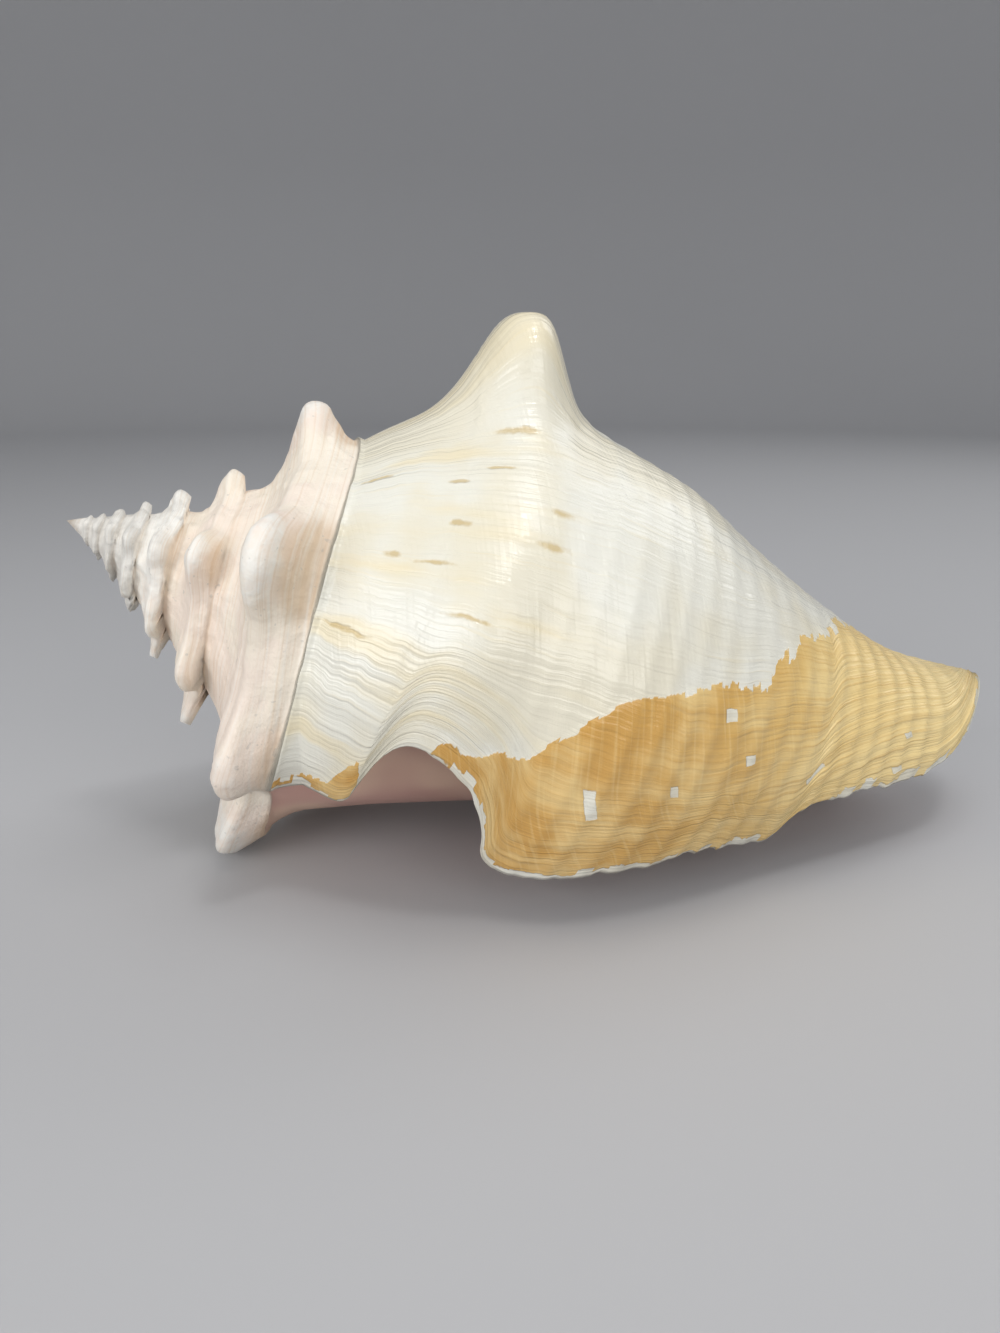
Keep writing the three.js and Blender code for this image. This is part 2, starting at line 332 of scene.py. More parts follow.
class Net:
    """Points, each known by its place on the shell, and the triangles that join them."""

    def __init__(self):
        self.turn = []
        self.band = []
        self.share = []
        self.side = []
        self.count = 0
        self.triangles = []

    def add(self, turn, band, share, side):
        """Adds a grid of points and returns their numbers."""
        grids = [np.asarray(values, float) for values in (turn, band, share)]
        turn, band, share = np.broadcast_arrays(*grids)
        numbers = self.count + np.arange(turn.size).reshape(turn.shape)
        self.count += turn.size
        self.turn.append(turn.ravel())
        self.band.append(band.ravel())
        self.share.append(share.ravel())
        self.side.append(np.full(turn.size, side))
        return numbers

    def fill_grid(self, grid, flip=False):
        a, b = grid[:-1, :-1].ravel(), grid[1:, :-1].ravel()
        c, d = grid[1:, 1:].ravel(), grid[:-1, 1:].ravel()
        for corners in ((a, b, c), (a, c, d)):
            faces = np.stack(corners, axis=1)
            self.triangles.append(faces[:, ::-1] if flip else faces)

    def stitch(self, chain_a, chain_b, flip=False, along_a=None, along_b=None):
        """Joins two chains of points with triangles, stepping along both together."""
        along_a = np.linspace(0, 1, len(chain_a)) if along_a is None else along_a
        along_b = np.linspace(0, 1, len(chain_b)) if along_b is None else along_b
        i = j = 0
        faces = []
        while i + 1 < len(chain_a) or j + 1 < len(chain_b):
            b_is_next = j + 1 < len(chain_b) and (
                i + 1 == len(chain_a) or along_b[j + 1] <= along_a[i + 1] + CLOSE
            )
            third = chain_b[j + 1] if b_is_next else chain_a[i + 1]
            faces.append((chain_a[i], chain_b[j], third))
            j += b_is_next
            i += not b_is_next
        faces = np.array(faces)
        distinct = np.all(faces != np.roll(faces, 1, axis=1), axis=1)
        faces = faces[distinct]
        self.triangles.append(faces[:, ::-1] if flip else faces)


def covered_bands(turn, columns):
    """Bands from the suture to the next whorl's suture line, a row for each turn."""
    return suture_band(turn)[:, None] * np.arange(columns + 1) / columns


def open_bands(turn):
    """Bands from the suture line on to the siphonal end."""
    start = suture_band(turn)[:, None]
    return start + (END_BAND - start) * np.arange(1, OPEN_COLUMNS + 1) / OPEN_COLUMNS


def build_net():
    """The whole closed surface: the core from the apex, then the wall round the hollow."""
    net = Net()
    apex = net.add([FIRST_TURN], 0, -1, OUTSIDE)[0]
    end_turn = np.array([CORE_END])
    end_bands = np.hstack([covered_bands(end_turn, WHORL_COLUMNS[-1]), open_bands(end_turn)])[0]

    # The covered part of every whorl; column 0 of each lies on the suture line before it.
    whorls = []
    for whorl, (steps, columns) in enumerate(zip(WHORL_STEPS, WHORL_COLUMNS)):
        turn = FIRST_TURN + whorl + np.arange(steps) / steps
        bands = covered_bands(turn, columns)[:, 1:]
        whorls.append(net.add(turn[:, None], bands, -1, OUTSIDE))
    end_ring = net.add(CORE_END, end_bands[1:], 0, OUTSIDE)
    next_rings = [whorl[0] for whorl in whorls[1:]] + [end_ring[: WHORL_COLUMNS[-1]]]

    suture = np.array([apex, whorls[0][0, -1]])
    for whorl, next_ring in zip(whorls, next_rings):
        net.fill_grid(whorl)
        net.stitch(whorl[-1], next_ring)
        net.stitch(suture, np.append(whorl[:, 0], next_ring[0]), flip=True)
        suture = np.append(whorl[:, -1], next_ring[-1])
    net.stitch(whorls[0][0], [apex], flip=True)

    # The last whorl's core on past the suture line, round to the siphonal end and its tip.
    steps = WHORL_STEPS[-1]
    lip_steps = round(LIP_TURNS * steps)
    turn = CORE_END - 1 + np.arange(0, steps, COARSE) / steps
    core = net.add(turn[:, None], open_bands(turn)[:, ::COARSE], -1, CORE)
    core_tip = net.add([CORE_END], END_BAND, -1, CORE)[0]
    open_end = end_ring[WHORL_COLUMNS[-1] :]
    net.fill_grid(core)
    net.stitch(core[-1], open_end)
    lip_hold = lip_steps // COARSE
    root = np.append(core[:, 0], open_end[0])
    net.stitch(suture[lip_steps:], root[lip_hold:], flip=True)
    net.stitch(np.append(core[:, -1], open_end[-1]), [core_tip], flip=True)

    # The wall, outside and inside.
    shares = np.arange(WALL_ROWS + 1) / WALL_ROWS
    edge_start = WALL_ROWS - EDGE_ROWS
    bands = end_bands[1:]
    outside = net.add(wall_turn(shares[1:, None], bands), bands, shares[1:, None], OUTSIDE)
    outside = np.vstack([end_ring, outside])
    net.fill_grid(outside)
    net.stitch(suture[: lip_steps + 1], outside[:, 0], flip=True)
    coarse_shares = np.linspace(0, shares[edge_start - COARSE], edge_start // COARSE)
    coarse_bands = np.append(end_bands[1:-1:COARSE], END_BAND)
    fine_shares = shares[edge_start:]
    rows = coarse_shares[:, None]
    coarse = net.add(wall_turn(rows, coarse_bands), coarse_bands, rows, INSIDE)
    rows = fine_shares[:, None]
    fine = net.add(wall_turn(rows, bands), bands, rows, INSIDE)
    net.fill_grid(coarse, flip=True)
    net.fill_grid(fine, flip=True)
    net.stitch(coarse[-1], fine[0], flip=True, along_a=coarse_bands, along_b=bands)
    inside_shares = np.append(coarse_shares, fine_shares)
    inside_root = np.append(coarse[:, 0], fine[:, 0])
    root_shares = np.linspace(0, 1, lip_hold + 1)
    net.stitch(root[: lip_hold + 1], inside_root, along_a=root_shares, along_b=inside_shares)

    # The lip's edge, the edge at the siphonal end, and the blind end of the hollow.
    lip_outside = np.append(suture[lip_steps], outside[-1])
    lip_inside = np.append(root[lip_hold], fine[-1])
    net.stitch(lip_outside, lip_inside)
    inside_end = np.append(coarse[:, -1], fine[:, -1])
    net.stitch(inside_end, outside[:, -1], along_a=inside_shares, along_b=shares)
    hollow_end = np.concatenate([[root[0]], coarse[0], [end_ring[-1]]])
    net.stitch(np.append(core[0], core_tip), hollow_end, flip=True)
    return net, core_tip


# ---- Relief and markings, in millimetres on the shell ---------------------------------

WALL_GROWTH = 200  # growth of the wall from the core's end to the lip's edge
USUAL_RADIUS = 45  # of a whorl whose relief is at full size
MOST_SCALE = 1.2
REFERENCE_TURN = 0.2  # where the outline's length is measured for the cords
REFERENCE_POINTS = 400
CORD_SPACING = 6.6
NOISE_CELLS = 64  # before the noise repeats
CORD_HEIGHT = 0.17
TIP_SHARE = 0.17  # of a knob's height
TIP_TURN_WIDTH = 0.019
TIP_BAND = 2.05
TIP_BAND_WIDTH = 0.33
LAST_TIP = -0.6  # the turn after which the knobs have no tips
DENT_DEPTH = 0.7
SKIN_THICKNESS = 0.28
KEEL_HEIGHT = 1.1
BEAD_HEIGHT = 0.25
CORD_POWER = 1.6  # over 1 makes the cords narrower than the grooves

# Where the ochre skin starts: [band, degrees round the axis]
OCHRE_START = [
    [0, 132],
    [0.5, 131],
    [0.9, 128],
    [1.15, 125],
    [1.28, 118],
    [1.42, 114],
    [1.52, 122],
    [1.65, 140],
    [2.0, 125],
    [2.1, 99],
    [2.5, 98.5],
    [2.9, 95.5],
    [3.2, 94],
    [3.4, 89],
    [3.65, 84],
    [3.9, 79],
    [4.3, 76],
    [4.8, 70.5],
    [5.25, 66.5],
    [5.4, 58],
    [5.55, 51],
    [5.8, 43],
    [6.1, 30],
    [7, 0],
    [8, -40],
]


def reference_lengths():
    """The length of the outline from the suture to each of many bands."""
    bands = np.linspace(0, END_BAND, REFERENCE_POINTS)
    along, radius = outline_at(np.full(len(bands), REFERENCE_TURN), bands)
    steps = np.hypot(np.diff(along), np.diff(radius))
    return bands, np.append(0, np.cumsum(steps))


REFERENCE_BANDS, REFERENCE_LENGTHS = reference_lengths()


def cord_at(band):
    """The distance along the outline from the suture."""
    return np.interp(band, REFERENCE_BANDS, REFERENCE_LENGTHS)


def growth_at(turn, band):
    """How much the shell had grown at a place, from 0 at the core's end to WALL_GROWTH at the lip.

    The growth lines run straight across the whorl, and turn to follow the lip near its edge and
    on the canal.
    """
    share = (turn - CORE_END) / (lip_turn(band) - CORE_END)
    plain = (turn - CORE_END) / LIP_TURNS
    like_lip = np.maximum(ease(share, 0.86, 1), ease(band, 4.5, 7))
    return (plain + like_lip * (share - plain)) * WALL_GROWTH


def ease(x, low, high):
    """0 below low, 1 above high, and smooth between."""
    t = np.clip((x - low) / (high - low), 0, 1)
    return t * t * (3 - 2 * t)


def lattice_noise(x, y, z=0.0, seed=0):
    """Smooth noise between -1 and 1, with about one bump a unit."""
    table = np.random.default_rng(seed).uniform(-1, 1, (NOISE_CELLS,) * 3)
    x, y, z = np.broadcast_arrays(x, y, z)
    cells = [np.floor(v).astype(int) for v in (x, y, z)]
    parts = [v - c for v, c in zip((x, y, z), cells)]
    parts = [p * p * (3 - 2 * p) for p in parts]
    total = np.zeros(x.shape)
    for corner in range(8):
        offsets = [(corner >> axis) & 1 for axis in range(3)]
        weight = 1.0
        for part, offset in zip(parts, offsets):
            weight = weight * (part if offset else 1 - part)
        total += weight * table[tuple((c + o) % NOISE_CELLS for c, o in zip(cells, offsets))]
    return total


class Places:
    """Every point's place on the shell, and what follows from it."""

    def __init__(self, net):
        self.turn = np.concatenate(net.turn)
        self.band = np.concatenate(net.band)
        self.share = np.concatenate(net.share)
        self.side = np.concatenate(net.side)
        on_wall = self.share >= 0
        self.wall = on_wall & (self.side == OUTSIDE)
        self.inside = on_wall & (self.side == INSIDE)
        self.cord = cord_at(self.band)
        core_growth = (self.turn - CORE_END) * WALL_GROWTH / LIP_TURNS
        self.growth = np.where(on_wall, growth_at(self.turn, self.band), core_growth)
        radius = outline_at(self.turn, self.band)[1]
        self.scale = np.minimum(radius / USUAL_RADIUS, MOST_SCALE)
        degree = 2 * math.pi * radius / FULL_CIRCLE
        degrees = self.turn * FULL_CIRCLE
        start = np.array(OCHRE_START, float)
        ochre = (degrees - smooth_curve(start[:, 0], start[:, 1], self.band)) * degree
        self.ochre = np.where(self.wall, ochre, -NOWHERE)
        to_lip = (lip_turn(self.band) * FULL_CIRCLE - degrees) * degree
        self.lip_edge = np.where(on_wall, to_lip, NOWHERE)
        late_core = ease(self.turn, -0.45, -0.27)
        self.body = np.where(on_wall, 1.0, np.where(self.side == OUTSIDE, late_core, 0))
        self.glaze = np.where(self.side == OUTSIDE, 0.0, 1.0)


def ragged_lip(places):
    """Moves the rows near the lip's edge to and fro along the growth, in torn steps."""
    wide = lattice_noise(places.cord / 9, 0.5, seed=3)
    step = lattice_noise(np.floor(places.cord / 2.7 + 0.4 * wide) + 0.5, 7.5, seed=4)
    fine = lattice_noise(places.cord / 1.4, 3.5, seed=5)
    ragged = 0.7 * wide + 0.9 * step + 0.35 * fine
    calm = ease(places.cord, 55, 75) * 1.2 + 0.3
    near_edge = np.clip(places.share, 0, 1) ** 16
    radius = USUAL_RADIUS * places.scale
    return ragged * calm * near_edge / (2 * math.pi * radius)


def knob_tips(turn, band):
    """How far the narrow tips of the spire's knobs stand out."""
    total = np.zeros(len(turn))
    for knob_turn, height in ALL_KNOBS:
        if knob_turn < LAST_TIP:
            turns_away = (turn - knob_turn) / TIP_TURN_WIDTH
            bands_away = (band - TIP_BAND) / TIP_BAND_WIDTH
            total += TIP_SHARE * height * np.exp(-(turns_away**2 + bands_away**2))
    return total


def relief(places, points):
    """How far each point stands out of the smooth form."""
    cord, growth = places.cord, places.growth
    wobble = 0.9 * lattice_noise(growth / 30, cord / 12, seed=11)
    wave = 0.5 + 0.5 * np.cos(2 * math.pi * (cord + wobble) / CORD_SPACING)
    on_body = places.body * ease(cord, 32, 60) * (1 - 0.6 * ease(cord, 165, 185))
    height = CORD_HEIGHT * wave**CORD_POWER * on_body * (1 + 1.6 * ease(places.ochre, 0, 12))

    near_lip = np.where(places.wall, ease(places.share, 0.72, 1), 0) * ease(cord, 110, 160)
    near_suture = np.exp(-cord / 22)
    ridge = 0.22 * lattice_noise(growth / 5.5, cord / 60, seed=12)
    ridge += 0.12 * lattice_noise(growth / 2.6, cord / 45, seed=13)
    height += places.body * ridge * (0.5 + 1.6 * near_lip + 0.5 * near_suture)
    height += SKIN_THICKNESS * ease(places.ochre, -0.5, 0.8) * places.body

    dents = lattice_noise(*(points / 24).T, seed=14)
    height += DENT_DEPTH * places.body * dents * places.scale

    # The spire: folds along the growth, a keel between the knobs, and lumps that time has worn.
    spire = np.where(places.side == OUTSIDE, 1 - places.body, 0)
    fold = lattice_noise(growth / 60, cord / 3.4, seed=15)
    crease = lattice_noise(growth / 14, cord / 9, seed=16)
    height += spire * places.scale * (0.38 * fold + 0.5 * crease)
    keel = np.exp(-(((places.band - 2.02) / 0.16) ** 2))
    keel += 0.5 * np.exp(-(((places.band - 2.55) / 0.12) ** 2))
    height += spire * places.scale * KEEL_HEIGHT * keel
    fresh = 1 - ease(np.abs(places.turn + 1.2), 1.1, 2.3)
    lumps = lattice_noise(*(points / 3.1).T, seed=17)
    lumps += 0.6 * lattice_noise(*(points / 1.5).T, seed=18)
    height += spire * (0.3 + 0.7 * (1 - fresh)) * np.minimum(places.scale * 3, 0.85) * lumps

    bead = np.exp(-((cord / 0.7 - 1) ** 2))
    height += BEAD_HEIGHT * places.scale * bead * (places.side == OUTSIDE)
    height += spire * knob_tips(places.turn, places.band)
    return height * (places.side != INSIDE) * (1 - 0.8 * (places.side == CORE))


def vertex_normals(points, triangles):
    corners = points[triangles]
    facing = np.cross(corners[:, 1] - corners[:, 0], corners[:, 2] - corners[:, 0])
    normals = np.zeros_like(points)
    for corner in range(3):
        np.add.at(normals, triangles[:, corner], facing)
    return normals / np.maximum(np.linalg.norm(normals, axis=1, keepdims=True), 1e-12)


def shape_points(net, core_tip, triangles):
    """Every point in space, and its places on the shell."""
    places = Places(net)
    turn = places.turn + ragged_lip(places)
    along, radius = surface_at(turn, places.band)
    wall = places.wall
    least = core_radius(turn[wall], along[wall]) + HOLLOW_GAP + LEAST_THICKNESS
    radius[wall] = np.maximum(radius[wall], least)
    hidden = places.inside
    share = places.share[hidden]
    thickness = WALL_THICKNESS + (LIP_THICKNESS - WALL_THICKNESS) * share**2
    inner = inside_at(turn[hidden], places.band[hidden], thickness)
    along[hidden], radius[hidden] = inner
    along[core_tip], radius[core_tip] = CORE_TIP, 0
    along[0], radius[0] = APEX_WEAR, 0
    points = place(along, radius, turn)
    normals = vertex_normals(points, triangles)
    points = points + normals * relief(places, points)[:, None]
    return points, places


net, core_tip = build_net()
triangles = np.vstack(net.triangles)
points, places = shape_points(net, core_tip, triangles)

# The finished form stands where the CAD solid stands.
low, high = points.min(axis=0), points.max(axis=0)
cad_middle = np.array([(a + b) / 2 for a, b in zip(cad_low, cad_high)]) / MM
shift = cad_middle - (low + high) / 2
shift[2] = cad_low.z / MM - low[2]
points = (points + shift) * MM


# ---- Materials ------------------------------------------------------------------------

CREAM = (0.76, 0.715, 0.58)
WHITE = (0.78, 0.765, 0.68)
STRAW = (0.80, 0.68, 0.42)
SCAR = (0.52, 0.36, 0.11)
SPIRE_BEIGE = (0.84, 0.755, 0.635)
SPIRE_PINK = (0.84, 0.72, 0.62)
CHALK = (0.84, 0.82, 0.765)
WORN_GREY = (0.42, 0.40, 0.37)
# Tan of the spire's streaks, and of the painted shade in its hollows and under its knobs
TAN_STREAK_AND_SHADE = (0.60, 0.40, 0.22)
OCHRE = (0.80, 0.55, 0.19)
OCHRE_DEEP = (0.58, 0.31, 0.06)
OCHRE_PALE = (0.88, 0.69, 0.33)
PINK = (0.62, 0.36, 0.30)
PEACH = (0.80, 0.55, 0.42)
FLOOR_GREY = (0.46, 0.46, 0.47)
FLOOR_PALE = (0.52, 0.52, 0.53)
SPIRE_ROUGHNESS = (0.62, 0.62, 0.62)
BODY_ROUGHNESS = (0.2, 0.2, 0.2)
OCHRE_ROUGHNESS = (0.25, 0.25, 0.25)
GLAZE_ROUGHNESS = (0.3, 0.3, 0.3)


def scattered(count, seed, degrees, bands, half_widths, half_lengths):
    """Marks strewn over a stretch of the shell: [degrees, band, half its width, half its length]."""
    dice = np.random.default_rng(seed)
    reaches = (degrees, bands, half_widths, half_lengths)
    return np.stack([dice.uniform(low, high, count) for low, high in reaches], axis=1).tolist()


# White chips in the ochre: a large upright one near the lip's edge, and small ones strewn about.
LARGE_CHIP = [100, 4, 4.4, 1.25]
CHIPS = [LARGE_CHIP] + scattered(6, 31, (74, 96), (4.6, 6.8), (1.2, 2.2), (1.0, 1.6))
# Yellow-brown scars along the growth lines, between the suture and the middle of the body.
SCARS = scattered(12, 32, (15, 84), (0.5, 2.8), (0.45, 1.0), (1.8, 5.0))


class Shader:
    """A node material built from short calls. An argument is a number, a colour or a socket."""

    def __init__(self, name):
        self.material = bpy.data.materials.new(name)
        self.material.use_nodes = True
        self.tree = self.material.node_tree
        self.tree.nodes.clear()

    def put(self, node, socket, value):
        if isinstance(value, bpy.types.NodeSocket):
            self.tree.links.new(value, node.inputs[socket])
        elif isinstance(value, tuple) and len(node.inputs[socket].default_value) == 4:
            node.inputs[socket].default_value = (*value, 1)
        else:
            node.inputs[socket].default_value = value

    def math(self, operation, a, b=0.0, clamp=False):
        node = self.tree.nodes.new("ShaderNodeMath")
        node.operation = operation
        node.use_clamp = clamp
        self.put(node, 0, a)
        self.put(node, 1, b)
        return node.outputs[0]

    def add(self, *values):
        total = values[0]
        for value in values[1:]:
            total = self.math("ADD", total, value)
        return total

    def times(self, *values):
        total = values[0]
        for value in values[1:]:
            total = self.math("MULTIPLY", total, value)
        return total

    def invert(self, value):
        return self.math("SUBTRACT", 1, value)

    def ease(self, value, low, high):
        """0 at low and 1 at high, smooth between; low may be above high."""
        node = self.tree.nodes.new("ShaderNodeMapRange")
        node.interpolation_type = "SMOOTHSTEP"
        rising = low < high
        self.put(node, "Value", value)
        self.put(node, "From Min", min(low, high))
        self.put(node, "From Max", max(low, high))
        self.put(node, "To Min", 0.0 if rising else 1.0)
        self.put(node, "To Max", 1.0 if rising else 0.0)
        return node.outputs[0]

    def mix(self, factor, a, b):
        node = self.tree.nodes.new("ShaderNodeMix")
        node.data_type = "RGBA"
        self.put(node, 0, factor)
        self.put(node, 6, a)
        self.put(node, 7, b)
        return node.outputs[2]

    def vector(self, x, y, z=0.0):
        node = self.tree.nodes.new("ShaderNodeCombineXYZ")
        for socket, value in enumerate((x, y, z)):
            self.put(node, socket, value)
        return node.outputs[0]

    def noise(self, vector, scale=1.0, detail=2.0, roughness=0.5):
        node = self.tree.nodes.new("ShaderNodeTexNoise")
        self.put(node, "Vector", vector)
        self.put(node, "Scale", scale)
        self.put(node, "Detail", detail)
        self.put(node, "Roughness", roughness)
        return node.outputs[0]

    def dice(self, x, y=0.0):
        """A random number from 0 to 1 for each whole number."""
        node = self.tree.nodes.new("ShaderNodeTexWhiteNoise")
        node.noise_dimensions = "2D"
        self.put(node, "Vector", self.vector(x, y))
        return node.outputs[0]

    def attribute(self, name):
        node = self.tree.nodes.new("ShaderNodeAttribute")
        node.attribute_name = name
        return node.outputs["Fac"]

    def position(self):
        return self.tree.nodes.new("ShaderNodeTexCoord").outputs["Object"]

    def finish(self, colour, roughness, height, **settings):
        surface = self.tree.nodes.new("ShaderNodeBsdfPrincipled")
        self.put(surface, "Base Color", colour)
        self.put(surface, "Roughness", roughness)
        for socket, value in settings.items():
            self.put(surface, socket.replace("_", " "), value)
        if height is not None:
            bump = self.tree.nodes.new("ShaderNodeBump")
            self.put(bump, "Distance", MM)
            self.put(bump, "Height", height)
            self.put(surface, "Normal", bump.outputs[0])
        output = self.tree.nodes.new("ShaderNodeOutputMaterial")
        self.tree.links.new(surface.outputs[0], output.inputs[0])
        return self.material


SLANT = 0.4  # of the marks and threads across the spiral cords


def away_from(shader, growth, cord, mark):
    """How far a point is from a mark, across it and along it, in half widths and half lengths."""
    degrees, band, half_growth, half_cord = mark
    centre = float(growth_at(degrees / FULL_CIRCLE, np.array([band]))[0])
    across = shader.math("SUBTRACT", growth, centre)
    along = shader.math("SUBTRACT", cord, float(cord_at(band)))
    along = shader.math("SUBTRACT", along, shader.times(across, SLANT))
    return shader.times(across, 1 / half_growth), shader.times(along, 1 / half_cord)


def oblong(shader, growth, cord, mark):
    """Under 1 inside an oblong mark."""
    across, along = away_from(shader, growth, cord, mark)
    return shader.math("MAXIMUM", shader.math("ABSOLUTE", across), shader.math("ABSOLUTE", along))


def oval(shader, growth, cord, mark):
    """Under 1 inside an oval mark."""
    across, along = away_from(shader, growth, cord, mark)
    return shader.math("SQRT", shader.add(shader.times(across, across), shader.times(along, along)))


def shell_material():
    shader = Shader("conch_shell_surface")
    growth = shader.attribute("growth")
    cord = shader.attribute("cord")
    body = shader.attribute("body")
    glaze = shader.attribute("glaze")
    ochre_depth = shader.attribute("ochre")
    lip_edge = shader.attribute("lip_edge")
    worn = shader.attribute("worn")
    # Mask of the painted shade in the spire's hollows and under its knobs
    hollow_shade = shader.attribute("hollow_shade")
    position = shader.position()

    # Growth lines: fine, wavy near the suture, and crossed by faint threads.
    near_suture = shader.ease(cord, 40, 0)
    wave = shader.noise(shader.vector(shader.times(growth, 0.05), shader.times(cord, 0.16), 3.0), 1.0, 1.0)
    sway = shader.times(shader.math("SUBTRACT", wave, 0.5), shader.add(1.4, shader.times(near_suture, 2.2)))
    wavy = shader.add(growth, sway)
    fine = shader.noise(shader.vector(shader.times(wavy, 1.05), shader.times(cord, 0.035), 1.0), 1.0, 2.0)
    broad = shader.noise(shader.vector(shader.times(wavy, 0.42), shader.times(cord, 0.02), 7.0), 1.0, 2.0)
    slanted = shader.math("SUBTRACT", cord, shader.times(growth, SLANT))
    threads = shader.noise(shader.vector(shader.times(growth, 0.04), slanted, 9.0), 1.0, 2.0)
    grain = shader.noise(position, 900.0, 2.0)
    lumps = shader.noise(position, 260.0, 4.0, 0.62)

    # The glossy cream body whorl, with straw bands along the growth.
    stretched = shader.vector(shader.times(growth, 0.03), shader.times(cord, 0.035), 2.0)
    patches = shader.noise(stretched, 1.0, 3.0)
    colour = shader.mix(shader.ease(patches, 0.42, 0.60), CREAM, WHITE)
    bands = shader.noise(shader.vector(shader.times(wavy, 0.11), shader.times(cord, 0.018), 4.0), 1.0, 3.0)
    straw = shader.times(shader.ease(bands, 0.50, 0.68), shader.ease(cord, 120, 10))
    colour = shader.mix(shader.times(straw, 0.55), colour, STRAW)
    streaks = shader.ease(fine, 0.58, 0.74)
    colour = shader.mix(shader.times(streaks, 0.22), colour, STRAW)

    # Scars where the growth stopped for a while.
    ragged = shader.times(shader.math("SUBTRACT", shader.noise(position, 420.0, 2.0), 0.5), 1.6)
    scarred = 0.0
    for mark in SCARS:
        away = oval(shader, wavy, cord, mark)
        scarred = shader.math("MAXIMUM", scarred, shader.ease(shader.add(away, ragged), 1.25, 0.3))
    colour = shader.mix(shader.times(scarred, 0.62), colour, SCAR)

    # The ochre skin towards the lip, torn off in small oblong steps.
    cells = shader.math("FLOOR", shader.add(shader.times(cord, 1 / 2.4), shader.times(wave, 1.5)))
    torn = shader.times(shader.math("SUBTRACT", shader.dice(cells), 0.5), 5.0)
    crumbs = shader.math("FLOOR", shader.times(cord, 1 / 0.9))
    torn = shader.add(torn, shader.times(shader.math("SUBTRACT", shader.dice(crumbs, 5.0), 0.5), 1.8))
    soft = shader.noise(shader.vector(shader.times(growth, 0.3), shader.times(cord, 0.3), 6.0), 1.0, 3.0)
    torn = shader.add(torn, shader.times(shader.math("SUBTRACT", soft, 0.5), 6.0))
    calm = shader.add(0.35, shader.times(0.65, shader.ease(cord, 85, 120)))
    skin = shader.ease(shader.add(ochre_depth, shader.times(torn, calm)), -0.25, 0.25)
    for mark in CHIPS:
        away = oblong(shader, growth, cord, mark)
        skin = shader.times(skin, shader.ease(shader.add(away, shader.times(ragged, 0.35)), 0.9, 1.05))
    fringe_width = shader.times(shader.dice(shader.math("FLOOR", shader.times(cord, 1 / 3.1)), 2.0), 3.6)
    fringe_wave = shader.times(shader.noise(position, 330.0, 2.0), 3.0)
    fringe = shader.add(fringe_width, fringe_wave, -1.5)
    skin = shader.times(skin, shader.ease(shader.math("SUBTRACT", lip_edge, fringe), -0.15, 0.15))
    ochre = shader.mix(shader.ease(cord, 60, 150), OCHRE_DEEP, OCHRE)
    ochre = shader.mix(shader.ease(cord, 95, 190), ochre, OCHRE_PALE)
    patchy = shader.noise(shader.vector(shader.times(growth, 0.07), shader.times(cord, 0.05), 8.0), 1.0, 3.0)
    ochre = shader.mix(shader.times(shader.ease(patchy, 0.4, 0.65), 0.55), ochre, OCHRE_PALE)
    ochre = shader.mix(shader.times(shader.ease(fine, 0.45, 0.72), 0.45), ochre, OCHRE_DEEP)
    ochre = shader.mix(shader.times(shader.ease(threads, 0.5, 0.7), 0.2), ochre, OCHRE_PALE)
    colour = shader.mix(shader.times(skin, 0.96), colour, ochre)

    # The matt spire: beige to pink, chalky towards the apex and on the knobs, with painted shade in tan in
    # the hollows beside the sutures and under the knobs.
    blush = shader.noise(position, 55.0, 3.0)
    spire = shader.mix(shader.ease(blush, 0.4, 0.62), SPIRE_BEIGE, SPIRE_PINK)
    mottled = shader.add(worn, shader.times(shader.math("SUBTRACT", lumps, 0.5), 0.9))
    spire = shader.mix(shader.ease(mottled, 0.2, 0.75), spire, CHALK)
    rubbed = shader.ease(shader.math("SUBTRACT", mottled, blush), 0.2, 0.6)
    spire = shader.mix(shader.times(rubbed, 0.5), spire, WORN_GREY)
    # Painted shade: tan laid into the hollows beside the sutures and under the knobs
    spire = shader.mix(shader.times(hollow_shade, 0.6), spire, TAN_STREAK_AND_SHADE)
    stretched = shader.vector(shader.times(growth, 0.018), shader.times(cord, 1.1), 5.0)
    streaks_along = shader.noise(stretched, 1.0, 3.0)
    spire = shader.mix(shader.times(shader.ease(streaks_along, 0.5, 0.68), 0.32), spire, CHALK)
    spire = shader.mix(shader.times(shader.ease(streaks_along, 0.48, 0.34), 0.22), spire, TAN_STREAK_AND_SHADE)
    specks = shader.ease(shader.noise(position, 620.0, 1.0), 0.70, 0.76)
    spire = shader.mix(shader.times(specks, 0.35), spire, WORN_GREY)
    colour = shader.mix(body, spire, colour)

    # The pink glaze inside, paling to white at the lip's edge.
    warmth = shader.noise(position, 30.0, 2.0)
    pink = shader.mix(shader.ease(warmth, 0.4, 0.62), PINK, PEACH)
    pink = shader.mix(shader.ease(lip_edge, 14, 1.5), pink, WHITE)
    colour = shader.mix(glaze, colour, pink)

    roughness = shader.mix(body, SPIRE_ROUGHNESS, BODY_ROUGHNESS)
    roughness = shader.mix(shader.times(skin, body), roughness, OCHRE_ROUGHNESS)
    roughness = shader.mix(glaze, roughness, GLAZE_ROUGHNESS)

    lines = shader.add(shader.times(fine, 0.36), shader.times(broad, 0.42), shader.times(threads, 0.12))
    scar_depth = shader.times(scarred, -0.14)
    body_height = shader.add(shader.times(lines, body), shader.times(scar_depth, body))
    skin_height = shader.times(skin, body, 0.16)
    chalky = shader.add(shader.times(lumps, 0.5), shader.times(grain, 0.12))
    matt_height = shader.times(chalky, shader.invert(body))
    height = shader.add(body_height, skin_height, shader.times(matt_height, shader.invert(glaze)))
    return shader.finish(colour, roughness, height)


def floor_material():
    shader = Shader("studio_floor_surface")
    tone = shader.noise(shader.position(), 3.0, 2.0)
    colour = shader.mix(shader.times(tone, 0.12), FLOOR_GREY, FLOOR_PALE)
    return shader.finish(colour, 0.85, None)


# ---- The shell ------------------------------------------------------------------------


